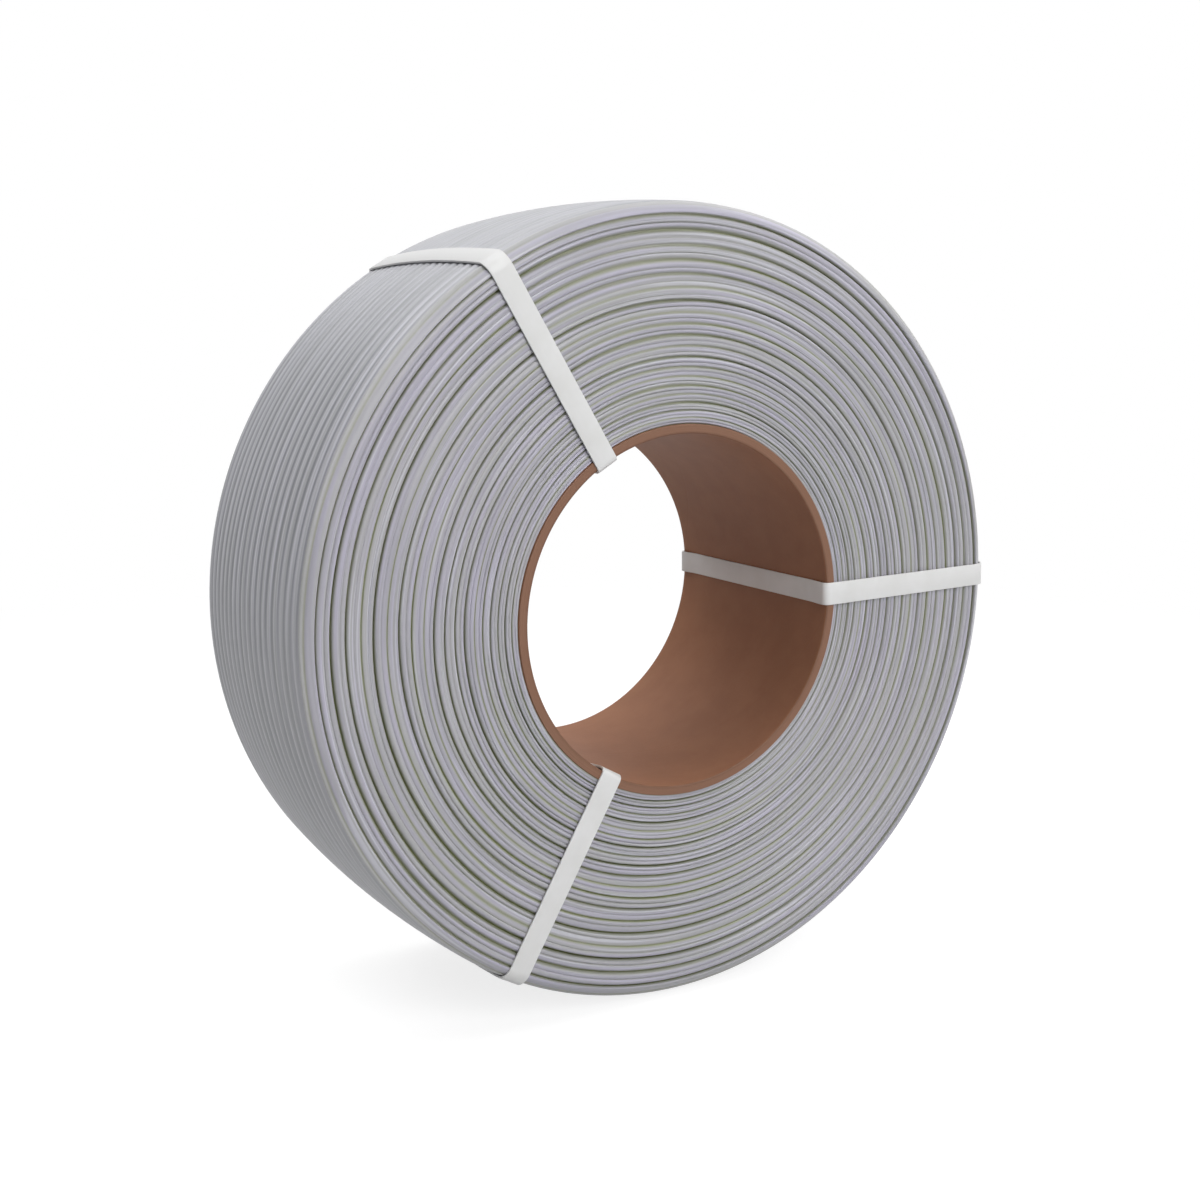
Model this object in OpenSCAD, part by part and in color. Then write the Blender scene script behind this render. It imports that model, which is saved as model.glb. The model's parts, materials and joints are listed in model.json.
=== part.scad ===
// Filament refill coil: one long strand wound in layers on a cardboard core and
// held by three flat straps. The coil stands on its rim with its axis along Y.
// The origin is the centre of the core's bore, and the front face looks to -Y.

/* [Core] */
// Inside diameter of the cardboard core, which is a 3 inch paper core
core_bore_d = 76; // [70:0.5:82]
// Thickness of the cardboard wall
core_wall = 2; // [1.2:0.1:4]
// Rounding of the core's inside edges
core_edge_r = 0.8; // [0.2:0.1:1]

/* [Coil] */
// Width of the coil across its faces, which is also the core's length
coil_w = 58.5; // [45:0.5:75]
// Diameter of the coil at its two edges
coil_d = 171; // [155:1:200]
// Rise of the barrel-shaped outside from its edges to its middle
crown_rise = 1.3; // [0:0.1:3]
// Turns side by side in the outermost layer
turns = 19; // [14:1:26]
// Depth of the grooves between the outermost turns
groove_depth = 0.45; // [0.1:0.05:0.8]
// Thickness of the innermost layer
first_layer_t = 1.47; // [1:0.01:1.8]
// Thickness of the outermost layer
last_layer_t = 2.5; // [1.6:0.1:3]
// Rounding of the outside edge at the front
front_shoulder_r = 2.9; // [1:0.1:3]
// Rounding of the outside edge at the back
back_shoulder_r = 1.4; // [1:0.1:3]
// Gap between one layer and the next
layer_gap = 0.05; // [0.02:0.01:0.2]

/* [Straps] */
// Width of a strap
strap_w = 5; // [3:0.5:9]
// Thickness of a strap
strap_t = 0.45; // [0.3:0.05:0.8]
// Depth by which a strap is pressed into the wall of the bore
strap_bed = 0.3; // [0.1:0.05:0.5]
// Gap between a strap and what it holds
strap_gap = 0.05; // [0.02:0.01:0.2]
// Inside radius of the strap's bends at the ends of the bore
strap_bend_r = 2; // [1:0.1:3]
// Length of the welded lap that closes a strap on the back face
strap_lap = 14; // [8:1:20]
// Distance of the lap's middle from the core
strap_lap_out = 22; // [14:1:24]
// Angle of the first strap above the +X axis
strap_angle = 1; // [-30:1:30]

/* [Hidden] */
LAYERS = 20;
STRAPS = ["strap_right", "strap_upper_left", "strap_lower_left"];

function layer_name(k) = str("filament_layer_", k < 10 ? "0" : "", k);

$fn = 96;
ARC_STEPS = 6;      // straight pieces in a quarter of a small rounding
RIB_STEPS = 6;      // straight pieces across one turn
CROWN_STEPS = 24;   // straight pieces of a strap over the outside
FAR = 2 * coil_d;   // beyond every surface

core_bore_r = core_bore_d / 2;
core_r = core_bore_r + core_wall;
coil_r = coil_d / 2;
half_w = coil_w / 2;
turn_pitch = coil_w / turns;

// A rounding of the outside edge stays within the end turn.
front_r = min(front_shoulder_r, 0.95 * turn_pitch);
back_r = min(back_shoulder_r, 0.95 * turn_pitch);

// The layers below the outermost one thicken evenly and fill what is left.
inner_layers = LAYERS - 1;
layer_growth = (coil_r - core_r - last_layer_t - inner_layers * first_layer_t)
    / (inner_layers * (inner_layers - 1) / 2);

// Radius at which layer k starts, with k counted from 1
function layer_start(k) =
    core_r + (k - 1) * first_layer_t + layer_growth * (k - 1) * (k - 2) / 2;

// Radius of the barrel-shaped outside at a height y along the axis
function crown_r(y) = coil_r + crown_rise * (1 - pow(y / half_w, 2));

// Radius at which the rounding of an outside edge meets the barrel
function rim_r(edge_r) = crown_r(half_w - edge_r);

// How far a rounding of radius r has fallen at a distance x from its highest point
function fall(r, x) = r - sqrt(max(0, r * r - x * x));

// Depth of the groove beside a turn at a height y; the coil's faces have none
function groove(y) =
    let (across = (y + half_w) / turn_pitch, u = 2 * (across - floor(across)) - 1)
    abs(y) > half_w - turn_pitch / 2 ? 0 : groove_depth * u * u;

// Points of an arc about a centre, from one angle to another
function arc(centre, r, from, to) =
    let (steps = ceil(abs(to - from) / 90 * ARC_STEPS))
    [for (i = [0:steps]) let (a = from + (to - from) * i / steps)
        centre + r * [cos(a), sin(a)]];

// Turns a profile of radius and height into a solid of revolution about the Y axis
module around_axis() {
    rotate([90, 0, 0])
        rotate_extrude()
            children();
}

// Draws a profile of radius and height as a band of this width, at the angle of strap i
module at_strap(i, width) {
    rotate([0, -strap_angle - i * 360 / len(STRAPS), 0])
        rotate([180, 0, 0])
            linear_extrude(width, center = true)
                children();
}

// One wound layer: a tube whose two ends are rounded like the strand
module inner_layer(k) {
    r0 = layer_start(k) + layer_gap / 2;
    r1 = layer_start(k + 1) - layer_gap / 2;
    end_r = (r1 - r0) / 2;
    end_y = half_w - end_r;
    around_axis()
        polygon(concat(
            arc([r0 + end_r, end_y], end_r, 0, 180),
            arc([r0 + end_r, -end_y], end_r, 180, 360)
        ));
}

// Half width of the outermost layer at radius r, where its edge has this rounding
function edge_y(r, r0, edge_r) =
    half_w - fall(edge_r, max(0, r - rim_r(edge_r) + edge_r))
        - fall(last_layer_t / 2, max(0, r0 + last_layer_t / 2 - r));

// Points across one end of the outermost layer, from its inside to its outside
function edge_points(r0, edge_r, side) =
    [for (i = [0:2 * ARC_STEPS])
        let (r = r0 + (rim_r(edge_r) - r0) * (1 - cos(90 * i / ARC_STEPS)) / 2,
             y = side * edge_y(r, r0, edge_r))
        [r - groove(y), y]];

// Points over the turns between the two rounded edges
function rib_points() =
    [for (i = [1:turns * RIB_STEPS - 1])
        let (y = i * turn_pitch / RIB_STEPS - half_w)
        if (y > back_r - half_w && y < half_w - front_r)
            [crown_r(y) - groove(y), y]];

// The outermost layer: its turns show as ribs on the barrel-shaped outside
module outer_layer() {
    r0 = layer_start(LAYERS) + layer_gap / 2;
    front = edge_points(r0, front_r, 1);
    around_axis()
        polygon(concat(
            edge_points(r0, back_r, -1),
            rib_points(),
            [for (i = [len(front) - 1:-1:0]) front[i]]
        ));
}

module filament_layer(k) {
    color("#b4b4bb")
        if (k < LAYERS)
            inner_layer(k);
        else
            outer_layer();
}

// Closed outline of a strap's inside in radius and height, grown outwards by d
function strap_outline(d) =
    let (bend_x = core_bore_r + strap_bed + strap_bend_r,
         face_y = half_w + strap_gap,
         low = back_r - half_w,
         top = half_w - front_r)
    concat(
        arc([bend_x, strap_bend_r - face_y], strap_bend_r + d, 180, 270),
        arc([rim_r(back_r) + strap_gap - back_r, back_r - face_y], back_r + d, 270, 360),
        [for (i = [1:CROWN_STEPS - 1])
            let (y = low + (top - low) * i / CROWN_STEPS)
            [crown_r(y) + strap_gap + d, y]],
        arc([rim_r(front_r) + strap_gap - front_r, face_y - front_r], front_r + d, 0, 90),
        arc([bend_x, face_y - strap_bend_r], strap_bend_r + d, 90, 180)
    );

// A strap: a closed band, with the welded lap of its two ends on the back face
module strap(i) {
    color("#e9e9e6")
        at_strap(i, strap_w) {
            difference() {
                polygon(strap_outline(strap_t));
                polygon(strap_outline(0));
            }
            translate([core_r + strap_lap_out - strap_lap / 2, -half_w - strap_gap - 2 * strap_t])
                square([strap_lap, 1.5 * strap_t]);
        }
}

// What the straps press into: everything outside their inside outline
module strap_dents() {
    for (i = [0:len(STRAPS) - 1])
        at_strap(i, strap_w + 2 * strap_gap)
            difference() {
                translate([0, -FAR])
                    square([FAR, 2 * FAR]);
                polygon(strap_outline(-strap_gap));
            }
}

// The cardboard core, dented where the straps press on its bore and its edges
module core_tube() {
    edge_x = core_bore_r + core_edge_r;
    color("#a9714c")
        difference() {
            around_axis()
                polygon(concat(
                    [[core_r, -half_w], [core_r, half_w]],
                    arc([edge_x, half_w - core_edge_r], core_edge_r, 90, 180),
                    arc([edge_x, core_edge_r - half_w], core_edge_r, 180, 270)
                ));
            strap_dents();
        }
}

core_tube();
for (k = [1:LAYERS])
    filament_layer(k);
for (i = [0:len(STRAPS) - 1])
    strap(i);
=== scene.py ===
"""Finishes and detailed pieces of a filament refill coil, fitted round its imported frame.

Each wound layer of strand, the paper core and each strap replaces the plain solid of
the same name. Lengths are in metres. The coil's axis is Y and its front faces -Y. A
section is drawn in the XY plane, so that X is its radius, and is then spun round Y.
"""

from __future__ import annotations

import json
import logging
import math
import random
from collections.abc import Callable, Iterator, Mapping, Sequence
from contextlib import contextmanager
from dataclasses import dataclass, field
from enum import Enum
from typing import Any

import bmesh
import bpy
from mathutils import Matrix, Vector

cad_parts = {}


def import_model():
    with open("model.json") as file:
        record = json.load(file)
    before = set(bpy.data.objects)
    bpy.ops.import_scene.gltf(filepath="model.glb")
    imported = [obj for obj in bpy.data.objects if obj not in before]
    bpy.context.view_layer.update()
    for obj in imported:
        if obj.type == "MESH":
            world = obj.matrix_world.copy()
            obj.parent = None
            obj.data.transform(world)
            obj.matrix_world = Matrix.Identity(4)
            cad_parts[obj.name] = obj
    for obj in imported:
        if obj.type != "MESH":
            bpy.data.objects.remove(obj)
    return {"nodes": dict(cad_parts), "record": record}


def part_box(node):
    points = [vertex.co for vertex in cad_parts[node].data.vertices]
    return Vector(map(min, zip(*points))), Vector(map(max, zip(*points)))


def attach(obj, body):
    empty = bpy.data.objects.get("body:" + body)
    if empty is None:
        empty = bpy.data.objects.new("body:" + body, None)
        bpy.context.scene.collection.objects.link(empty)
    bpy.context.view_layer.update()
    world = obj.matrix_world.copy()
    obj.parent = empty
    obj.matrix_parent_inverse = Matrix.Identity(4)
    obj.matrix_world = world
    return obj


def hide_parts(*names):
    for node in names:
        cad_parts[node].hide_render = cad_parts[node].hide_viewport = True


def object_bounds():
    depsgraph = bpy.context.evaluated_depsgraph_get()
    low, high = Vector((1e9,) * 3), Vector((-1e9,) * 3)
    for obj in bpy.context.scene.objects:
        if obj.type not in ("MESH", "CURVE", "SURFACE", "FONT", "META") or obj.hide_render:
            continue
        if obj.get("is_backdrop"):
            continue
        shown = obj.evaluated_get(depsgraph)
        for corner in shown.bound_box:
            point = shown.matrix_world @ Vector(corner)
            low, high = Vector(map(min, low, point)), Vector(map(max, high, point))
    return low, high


log = logging.getLogger("coil")

MM = 0.001
TINY = 1e-6
AXIS = Vector((0, 1, 0))
WHITE = (1.0, 1.0, 1.0, 1.0)

# Radius of the coil's two edges
RIM_R = 85.5 * MM
# The straps stand at even angles, and the first one this far above the +X axis
STRAPS = ("strap_right", "strap_upper_left", "strap_lower_left")
FIRST_STRAP = math.radians(1)


class Slot(Enum):
    """Material slots of the record."""

    CARDBOARD = "cardboard"
    FILAMENT = "filament"
    STRAP = "strap"


class Side(Enum):
    """The two faces of the coil, by the sign of their height along the axis."""

    FRONT = -1
    BACK = 1

    @classmethod
    def of(cls, height: float) -> Side:
        """The face on whose side of the coil a height is."""
        return cls.FRONT if height < 0 else cls.BACK


def clamped(share: float) -> float:
    """A share, kept from 0 to 1."""
    return min(1.0, max(0.0, share))


def eased(share: float) -> float:
    """A share, kept from 0 to 1 and made to start and stop smoothly."""
    share = clamped(share)
    return share * share * (3 - 2 * share)


class Sock:
    """A shader socket whose arithmetic adds Math nodes to its tree."""

    def __init__(self, graph: Graph, socket: bpy.types.NodeSocket) -> None:
        """Wrap an output socket of a tree that is being built."""
        self.graph = graph
        self.socket = socket

    def __add__(self, other: Sock | float) -> Sock:
        """This value plus another."""
        return self.graph.math("ADD", self, other)

    def __sub__(self, other: Sock | float) -> Sock:
        """This value less another."""
        return self.graph.math("SUBTRACT", self, other)

    def __rsub__(self, other: float) -> Sock:
        """A number less this value."""
        return self.graph.math("SUBTRACT", other, self)

    def __mul__(self, other: Sock | float) -> Sock:
        """This value times another."""
        return self.graph.math("MULTIPLY", self, other)

    def __truediv__(self, other: Sock | float) -> Sock:
        """This value divided by another."""
        return self.graph.math("DIVIDE", self, other)

    def __abs__(self) -> Sock:
        """This value without its sign."""
        return self.graph.math("ABSOLUTE", self)

    __radd__ = __add__
    __rmul__ = __mul__


class Graph:
    """Builds the shader tree of a material or of the world."""

    def __init__(self, owner: bpy.types.Material | bpy.types.World) -> None:
        """Empty the owner's tree.

        Args:
            owner: The material or world.
        """
        owner.use_nodes = True
        self.tree = owner.node_tree
        self.tree.nodes.clear()

    def node(
        self,
        kind: str,
        settings: Mapping[str, Any] | None = None,
        inputs: Mapping[str | int, Any] | None = None,
        output: str | int = 0,
    ) -> Sock:
        """Add one node.

        Args:
            kind: The node's type, without its ShaderNode prefix.
            settings: Its own settings, which are set first.
            inputs: Values or links of its input sockets.
            output: The output socket to return.

        Returns:
            That output socket, wrapped.
        """
        made = self.tree.nodes.new("ShaderNode" + kind)
        for key, value in (settings or {}).items():
            setattr(made, key, value)
        for key, value in (inputs or {}).items():
            if isinstance(value, Sock):
                self.tree.links.new(value.socket, made.inputs[key])
            elif value is not None:
                made.inputs[key].default_value = value
        return Sock(self, made.outputs[output] if made.outputs else None)

    def math(self, operation: str, *values: Sock | float) -> Sock:
        """The result of a Math node's operation on values, in order."""
        return self.node("Math", {"operation": operation}, dict(enumerate(values)))

    def seen_share(self) -> Sock:
        """Tell the rays that see a surface from those that light another.

        Returns:
            1 for rays from the camera and through gloss or glass, and 0 for the others.
        """
        camera, glossy, clear = (
            self.node("LightPath", output=name)
            for name in ("Is Camera Ray", "Is Glossy Ray", "Is Transmission Ray")
        )
        return self.math("MAXIMUM", self.math("MAXIMUM", camera, glossy), clear)


class Paint(Graph):
    """Builds the node tree of one procedural material."""

    def __init__(self, name: str) -> None:
        """Start an empty material of this name."""
        self.material = bpy.data.materials.new(name)
        super().__init__(self.material)

    def place(self) -> Sock:
        """The place of the shaded point in the piece's own coordinates."""
        return self.node("TexCoord", output="Object")

    def attribute(self, name: str) -> Sock:
        """A number that each point of the piece carries."""
        return self.node("Attribute", {"attribute_name": name}, output="Fac")

    def parts(self, vector: Sock) -> list[Sock]:
        """The three components of a vector."""
        split = self.node("SeparateXYZ", inputs={0: vector}).socket.node
        return [Sock(self, out) for out in split.outputs]

    def vector(self, x: Sock | float, y: Sock | float, z: Sock | float) -> Sock:
        """A vector of three components."""
        return self.node("CombineXYZ", inputs={0: x, 1: y, 2: z})

    def radius(self, x: Sock, z: Sock) -> Sock:
        """Distance from the coil's axis."""
        return self.math("SQRT", x * x + z * z)

    def noise(self, place: Sock, scale: float, detail: float = 2, rough: float = 0.5) -> Sock:
        """Noise about 0.5, by its frequency, its octaves and the finer ones' strength."""
        inputs = {"Vector": place, "Scale": scale, "Detail": detail, "Roughness": rough}
        return self.node("TexNoise", inputs=inputs)

    def fade(self, value: Sock, low: float = 0.3, high: float = 0.7) -> Sock:
        """A smooth step from 0 where the value is low to 1 where it is high."""
        settings = {"interpolation_type": "SMOOTHSTEP"}
        return self.node("MapRange", settings, {"Value": value, "From Min": low, "From Max": high})

    def blend(self, share: Sock | float, first: Any, second: Any) -> Sock:
        """A colour that is the first where the share is 0 and the second where it is 1."""
        settings = {"data_type": "RGBA", "clamp_factor": True}
        return self.node("Mix", settings, {0: share, 6: first, 7: second}, output=2)

    def bump(self, height: Sock, depth: float, under: Sock | None = None) -> Sock:
        """A normal bent by a height of 0 to 1, where 1 measures a depth in metres."""
        inputs = {"Strength": 1.0, "Distance": depth, "Height": height, "Normal": under}
        return self.node("Bump", inputs=inputs)

    def surface(
        self, colour: Sock, rough: Sock, normal: Sock, constants: Mapping[str, float]
    ) -> bpy.types.Material:
        """Finish the material with a Principled shader.

        Args:
            colour: The base colour.
            rough: The roughness.
            normal: The normal.
            constants: Values of further sockets, the same all over the surface.

        Returns:
            The finished material.
        """
        inputs = {"Base Color": colour, "Roughness": rough, "Normal": normal}
        shader = self.node("BsdfPrincipled", inputs={**inputs, **constants})
        self.node("OutputMaterial", inputs={"Surface": shader})
        return self.material


def linear(level: float) -> float:
    """The linear share of light of an sRGB level of 0 to 255."""
    share = level / 255
    return share / 12.92 if share <= 0.04045 else ((share + 0.055) / 1.055) ** 2.4


def tone(red: float, green: float, blue: float) -> tuple[float, float, float, float]:
    """A colour for a shader from its sRGB levels of 0 to 255."""
    return (linear(red), linear(green), linear(blue), 1.0)


@dataclass(frozen=True)
class Lines:
    """Fine lines along the turns of the strand, cut out of noise.

    The noise changes this often round the axis and has this width across the turns.
    It shows from a low value to a high one, with its own strength on the faces and
    outside.
    """

    width: float
    often: float
    detail: float
    low: float
    high: float
    on_faces: float = 1.0
    outside: float = 1.0

    def noise(self, paint: Paint, east: Sock, north: Sock, across: Sock) -> Sock:
        """The noise, by the direction from the axis and the place across the turns."""
        place = paint.vector(east * self.often, north * self.often, across / self.width)
        return paint.noise(place, 1.0, self.detail)

    def share(self, paint: Paint, noise: Sock, out: Sock) -> Sock:
        """How strong the lines are, where out is 0 on the faces and 1 outside."""
        strength = self.on_faces - out * (self.on_faces - self.outside)
        return paint.fade(noise, self.low, self.high) * strength


@dataclass(frozen=True)
class StrandFinish:
    """Satin light grey plastic, lavender on the faces, with painted shade in their grooves.

    The grooves' painted shade is olive-tinted and darker with depth. On the outside,
    one side carries painted light, with painted shade in the valleys between its ribs,
    and the front edge is rubbed pale. Fine pale lines along some turns are painted
    highlights.
    """

    light: tuple = tone(173, 170, 185)
    dark: tuple = tone(158, 157, 165)
    haze: tuple = tone(167, 168, 161)
    # painted highlight: pale lines along some turns
    painted_gleam: tuple = tone(200, 201, 209)
    outside: tuple = tone(172, 172, 178)
    outside_dark: tuple = tone(160, 161, 165)
    # painted light on the outside's lit side
    lit: tuple = tone(195, 195, 204)
    rubbed: tuple = tone(172, 172, 164)
    # painted shade in the face grooves: olive-grey up the sides of each groove, dark olive at its
    # bottom
    painted_wall_shade: tuple = tone(144, 147, 120)
    painted_floor_shade: tuple = tone(110, 117, 62)
    # painted shade in the valleys between the outside's ribs
    shade: tuple = tone(118, 119, 124)
    turns: Lines = Lines(0.55 * MM, 2.0, 1, 0.3, 0.7)
    hazes: Lines = Lines(1.2 * MM, 1.3, 1, 0.4, 0.65, on_faces=0.45, outside=0.1)
    streaks: Lines = Lines(0.2 * MM, 3.0, 3, 0.45, 0.8, on_faces=0.4, outside=0.15)
    # lines of painted highlight
    gleams: Lines = Lines(0.38 * MM, 1.6, 0, 0.62, 0.74, on_faces=0.5, outside=0.0)
    outside_r: float = 84.8 * MM
    outside_fade: float = 1.0 * MM
    # where the painted light and the painted valley shade are strongest, and how far they reach
    lit_turn: float = math.radians(152)
    lit_from: float = 0.8
    lit_share: float = 0.9
    lit_loss: float = 0.35
    lit_loss_y: tuple[float, float] = (-15 * MM, 25 * MM)
    # width of the painted valley shade, and how far it leans from the valley
    valley_half: float = 0.17
    valley_lean: float = 0.16
    rubbed_r: tuple[float, float] = (84.6 * MM, 85.2 * MM)
    rubbed_y: tuple[float, float] = (-26.4 * MM, -25.4 * MM)
    rubbed_share: float = 0.4
    # strengths of the painted groove shade, up the sides and at the bottom
    wall_shade_share: float = 0.7
    floor_shade_share: float = 0.95
    floor_shade_from: float = 0.5
    streak_depth: float = 0.012 * MM
    grain_size: float = 0.35 * MM
    grain_depth: float = 0.004 * MM
    roughness: float = 0.42
    streak_rough: float = 0.2
    groove_rough: float = 0.15
    ior: float = 1.46

    def painted_lighting(self, paint: Paint, east: Sock, north: Sock, y: Sock) -> Sock:
        """Strength of the painted light and valley shade, which weakens towards the back.

        Args:
            paint: The material's builder.
            east: The X part of the direction from the axis.
            north: Its Z part.
            y: The height along the axis.

        Returns:
            The strength, from 0 to 1.
        """
        facing = east * math.cos(self.lit_turn) + north * math.sin(self.lit_turn)
        side = paint.fade(facing, self.lit_from, 1.0) * self.lit_share
        return side * (1 - paint.fade(y, *self.lit_loss_y) * self.lit_loss)

    def valleys(self, paint: Paint) -> Sock:
        """Mask of painted shade: 1 in the valleys between the outside's ribs, 0 on the ribs."""
        along = paint.math("FRACT", paint.attribute("turns") + (0.5 - self.valley_lean))
        return 1 - paint.fade(abs(along - 0.5), 0.0, self.valley_half)

    def material(self) -> bpy.types.Material:
        """Make the material.

        Returns:
            The finish as a material.
        """
        paint = Paint("strand")
        x, y, z = paint.parts(paint.place())
        radius = paint.radius(x, z)
        east, north, across = x / radius, z / radius, radius - y
        turns, hazes, streaks, gleams = (
            lines.noise(paint, east, north, across)
            for lines in (self.turns, self.hazes, self.streaks, self.gleams)
        )
        grain = paint.noise(paint.place(), 1 / self.grain_size)
        groove = paint.attribute("groove")
        out = paint.fade(radius, self.outside_r, self.outside_r + self.outside_fade)
        # painted light and painted valley shade on the outside's lit side
        painted_lit_side = self.painted_lighting(paint, east, north, y)
        worn = paint.fade(radius, *self.rubbed_r) * (1 - paint.fade(y, *self.rubbed_y))
        # painted shade in the face grooves, from the groove attribute
        wall_shade_mask = paint.fade(groove, 0.0, self.floor_shade_from) * self.wall_shade_share
        floor_shade_mask = paint.fade(groove, self.floor_shade_from, 1.0) * self.floor_shade_share
        light = paint.blend(out, self.light, paint.blend(painted_lit_side, self.outside, self.lit))
        dark = paint.blend(out, self.dark, self.outside_dark)
        base = paint.blend(self.turns.share(paint, turns, out), light, dark)
        hazy = paint.blend(self.hazes.share(paint, hazes, out), base, self.haze)
        lined = paint.blend(self.streaks.share(paint, streaks, out), hazy, dark)
        # painted highlights along some turns
        painted_glints = paint.blend(self.gleams.share(paint, gleams, out), lined, self.painted_gleam)
        rubbed = paint.blend(worn * self.rubbed_share, painted_glints, self.rubbed)
        # painted shade in the valleys between the ribs
        shaded = paint.blend(self.valleys(paint) * out * painted_lit_side, rubbed, self.shade)
        groove_shaded = paint.blend(floor_shade_mask, paint.blend(wall_shade_mask, shaded, self.painted_wall_shade), self.painted_floor_shade)
        rough = self.roughness + (streaks - 0.5) * self.streak_rough + groove * self.groove_rough
        relief = paint.bump(grain, self.grain_depth, paint.bump(streaks, self.streak_depth))
        return paint.surface(groove_shaded, rough, relief, {"IOR": self.ior})


@dataclass(frozen=True)
class PaperFinish:
    """Matt brown core paper, with fibres and the seams of its spiral winding.

    The cut ends of the plies are a darker tone, with painted shade next to the bore.
    Fibres are counted per metre.
    """

    light: tuple = tone(147, 101, 73)
    dark: tuple = tone(140, 95, 68)
    fleck: tuple = tone(155, 110, 82)
    cut: tuple = tone(124, 91, 73)
    # painted shade on the end rings next to the bore
    inner: tuple = tone(100, 69, 53)
    cut_y: tuple[float, float] = (28.95 * MM, 29.15 * MM)
    cut_share: float = 0.9
    bore_shade_r: tuple[float, float] = (38.3 * MM, 38.7 * MM)
    cloud_size: float = 9 * MM
    fibres_round: float = 1400
    fibres_along: float = 2600
    fibre_depth: float = 0.03 * MM
    fibre_rough: float = 0.2
    fleck_share: float = 0.4
    ply_thick: float = 0.35 * MM
    ply_drift: float = 0.1
    ply_share: float = 0.2
    seams: int = 2
    seam_climb: float = 62 * MM
    seam_width: float = 0.5 * MM
    seam_share: float = 0.35
    seam_low: float = 0.6
    roughness: float = 0.62
    specular: float = 0.35

    def material(self) -> bpy.types.Material:
        """Make the material.

        Returns:
            The finish as a material.
        """
        paint = Paint("core_paper")
        place = paint.place()
        x, y, z = paint.parts(place)
        radius = paint.radius(x, z)
        turn = paint.math("ARCTAN2", z, x) / math.tau
        wound = paint.math("FRACT", turn * self.seams + y / self.seam_climb)
        seam = 1 - paint.fade(abs(wound - 0.5), 0, self.seam_width / self.seam_climb)
        cloud = paint.noise(place, 1 / self.cloud_size, 3, 0.6)
        around, along = self.fibres_round, self.fibres_along
        fibres = paint.noise(paint.vector(x * around, y * along, z * around), 1.0, 3, 0.7)
        rings = paint.vector(turn * self.ply_drift, 0.0, radius / self.ply_thick)
        plies = paint.noise(rings, 1.0, 1)
        base = paint.blend(paint.fade(cloud), self.light, self.dark)
        flecked = paint.blend(paint.fade(fibres, 0.5, 0.8) * self.fleck_share, base, self.fleck)
        lined = paint.blend(paint.fade(plies, 0.4, 0.7) * self.ply_share, flecked, self.dark)
        seamed = paint.blend(seam * self.seam_share, lined, self.dark)
        # painted shade on the end rings next to the bore
        outwards = paint.fade(radius, *self.bore_shade_r) * 0.5 + 0.5
        ring = paint.blend(outwards, self.inner, self.cut)
        ended = paint.blend(paint.fade(abs(y), *self.cut_y) * self.cut_share, seamed, ring)
        rough = self.roughness + (fibres - 0.5) * self.fibre_rough
        relief = paint.bump(fibres - seam * self.seam_low, self.fibre_depth)
        return paint.surface(ended, rough, relief, {"Specular IOR Level": self.specular})


@dataclass(frozen=True)
class StrapFinish:
    """Off-white plastic strapping, drawn lengthwise, with painted shade on its outer run."""

    light: tuple = tone(219, 219, 219)
    dark: tuple = tone(214, 214, 213)
    # painted shade on the strap's run over the coil's outside
    outside: tuple = tone(205, 205, 205)
    outside_r: tuple[float, float] = (85.4 * MM, 85.9 * MM)
    outside_share: float = 0.9
    cloud_size: float = 6 * MM
    line_often: float = 12
    line_width: float = 0.5 * MM
    line_share: float = 0.4
    line_depth: float = 0.006 * MM
    line_rough: float = 0.2
    roughness: float = 0.4
    ior: float = 1.46

    def material(self, angle: float) -> bpy.types.Material:
        """The finish of one strap as a material, with its lines along the strap.

        Args:
            angle: The strap's angle round the axis.

        Returns:
            The material.
        """
        paint = Paint(f"strapping_{round(math.degrees(angle))}")
        turned = paint.node(
            "Mapping", inputs={"Vector": paint.place(), "Rotation": (0, angle, 0)}
        )
        out, along, across = paint.parts(turned)
        often = self.line_often
        spot = paint.vector(out * often, along * often, across / self.line_width)
        lines = paint.noise(spot, 1.0)
        cloud = paint.noise(turned, 1 / self.cloud_size)
        base = paint.blend(paint.fade(cloud), self.light, self.dark)
        lined = paint.blend(paint.fade(lines, 0.4, 0.8) * self.line_share, base, self.dark)
        # painted shade on the run over the coil's outside
        over = paint.fade(out, *self.outside_r) * self.outside_share
        run = paint.blend(over, lined, self.outside)
        rough = self.roughness + (lines - 0.5) * self.line_rough
        return paint.surface(run, rough, paint.bump(lines, self.line_depth), {"IOR": self.ior})


@dataclass(frozen=True)
class StageFinish:
    """Pale floor that the camera sees as white, apart from the shadow on it."""

    light: tuple = tone(203, 203, 203)
    dark: tuple = tone(197, 197, 197)
    grain_size: float = 2 * MM
    glow: float = 0.80
    lit: float = 0.30
    shadow_reach: float = 0.22
    white_from: float = 0.55

    def material(self) -> bpy.types.Material:
        """Make the material.

        Returns:
            The finish as a material.
        """
        paint = Paint("stage")
        place = paint.place()
        grain = paint.noise(place, 1 / self.grain_size)
        colour = paint.blend(grain, self.light, self.dark)
        matt = paint.node("BsdfDiffuse", inputs={"Color": colour})
        seen = paint.node("BsdfDiffuse", inputs={"Color": (self.lit, self.lit, self.lit, 1.0)})
        glow = paint.node("Emission", inputs={"Color": WHITE, "Strength": self.glow})
        white = paint.node("Emission", inputs={"Color": WHITE, "Strength": 1.0})
        near = paint.node("AddShader", inputs={0: seen, 1: glow})
        distance = paint.node("VectorMath", {"operation": "LENGTH"}, {0: place}, "Value")
        far = paint.fade(distance, self.shadow_reach, self.white_from)
        ground = paint.node("MixShader", inputs={0: far, 1: near, 2: white})
        mixed = paint.node("MixShader", inputs={0: paint.seen_share(), 1: matt, 2: ground})
        paint.node("OutputMaterial", inputs={"Surface": mixed})
        return paint.material


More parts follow.
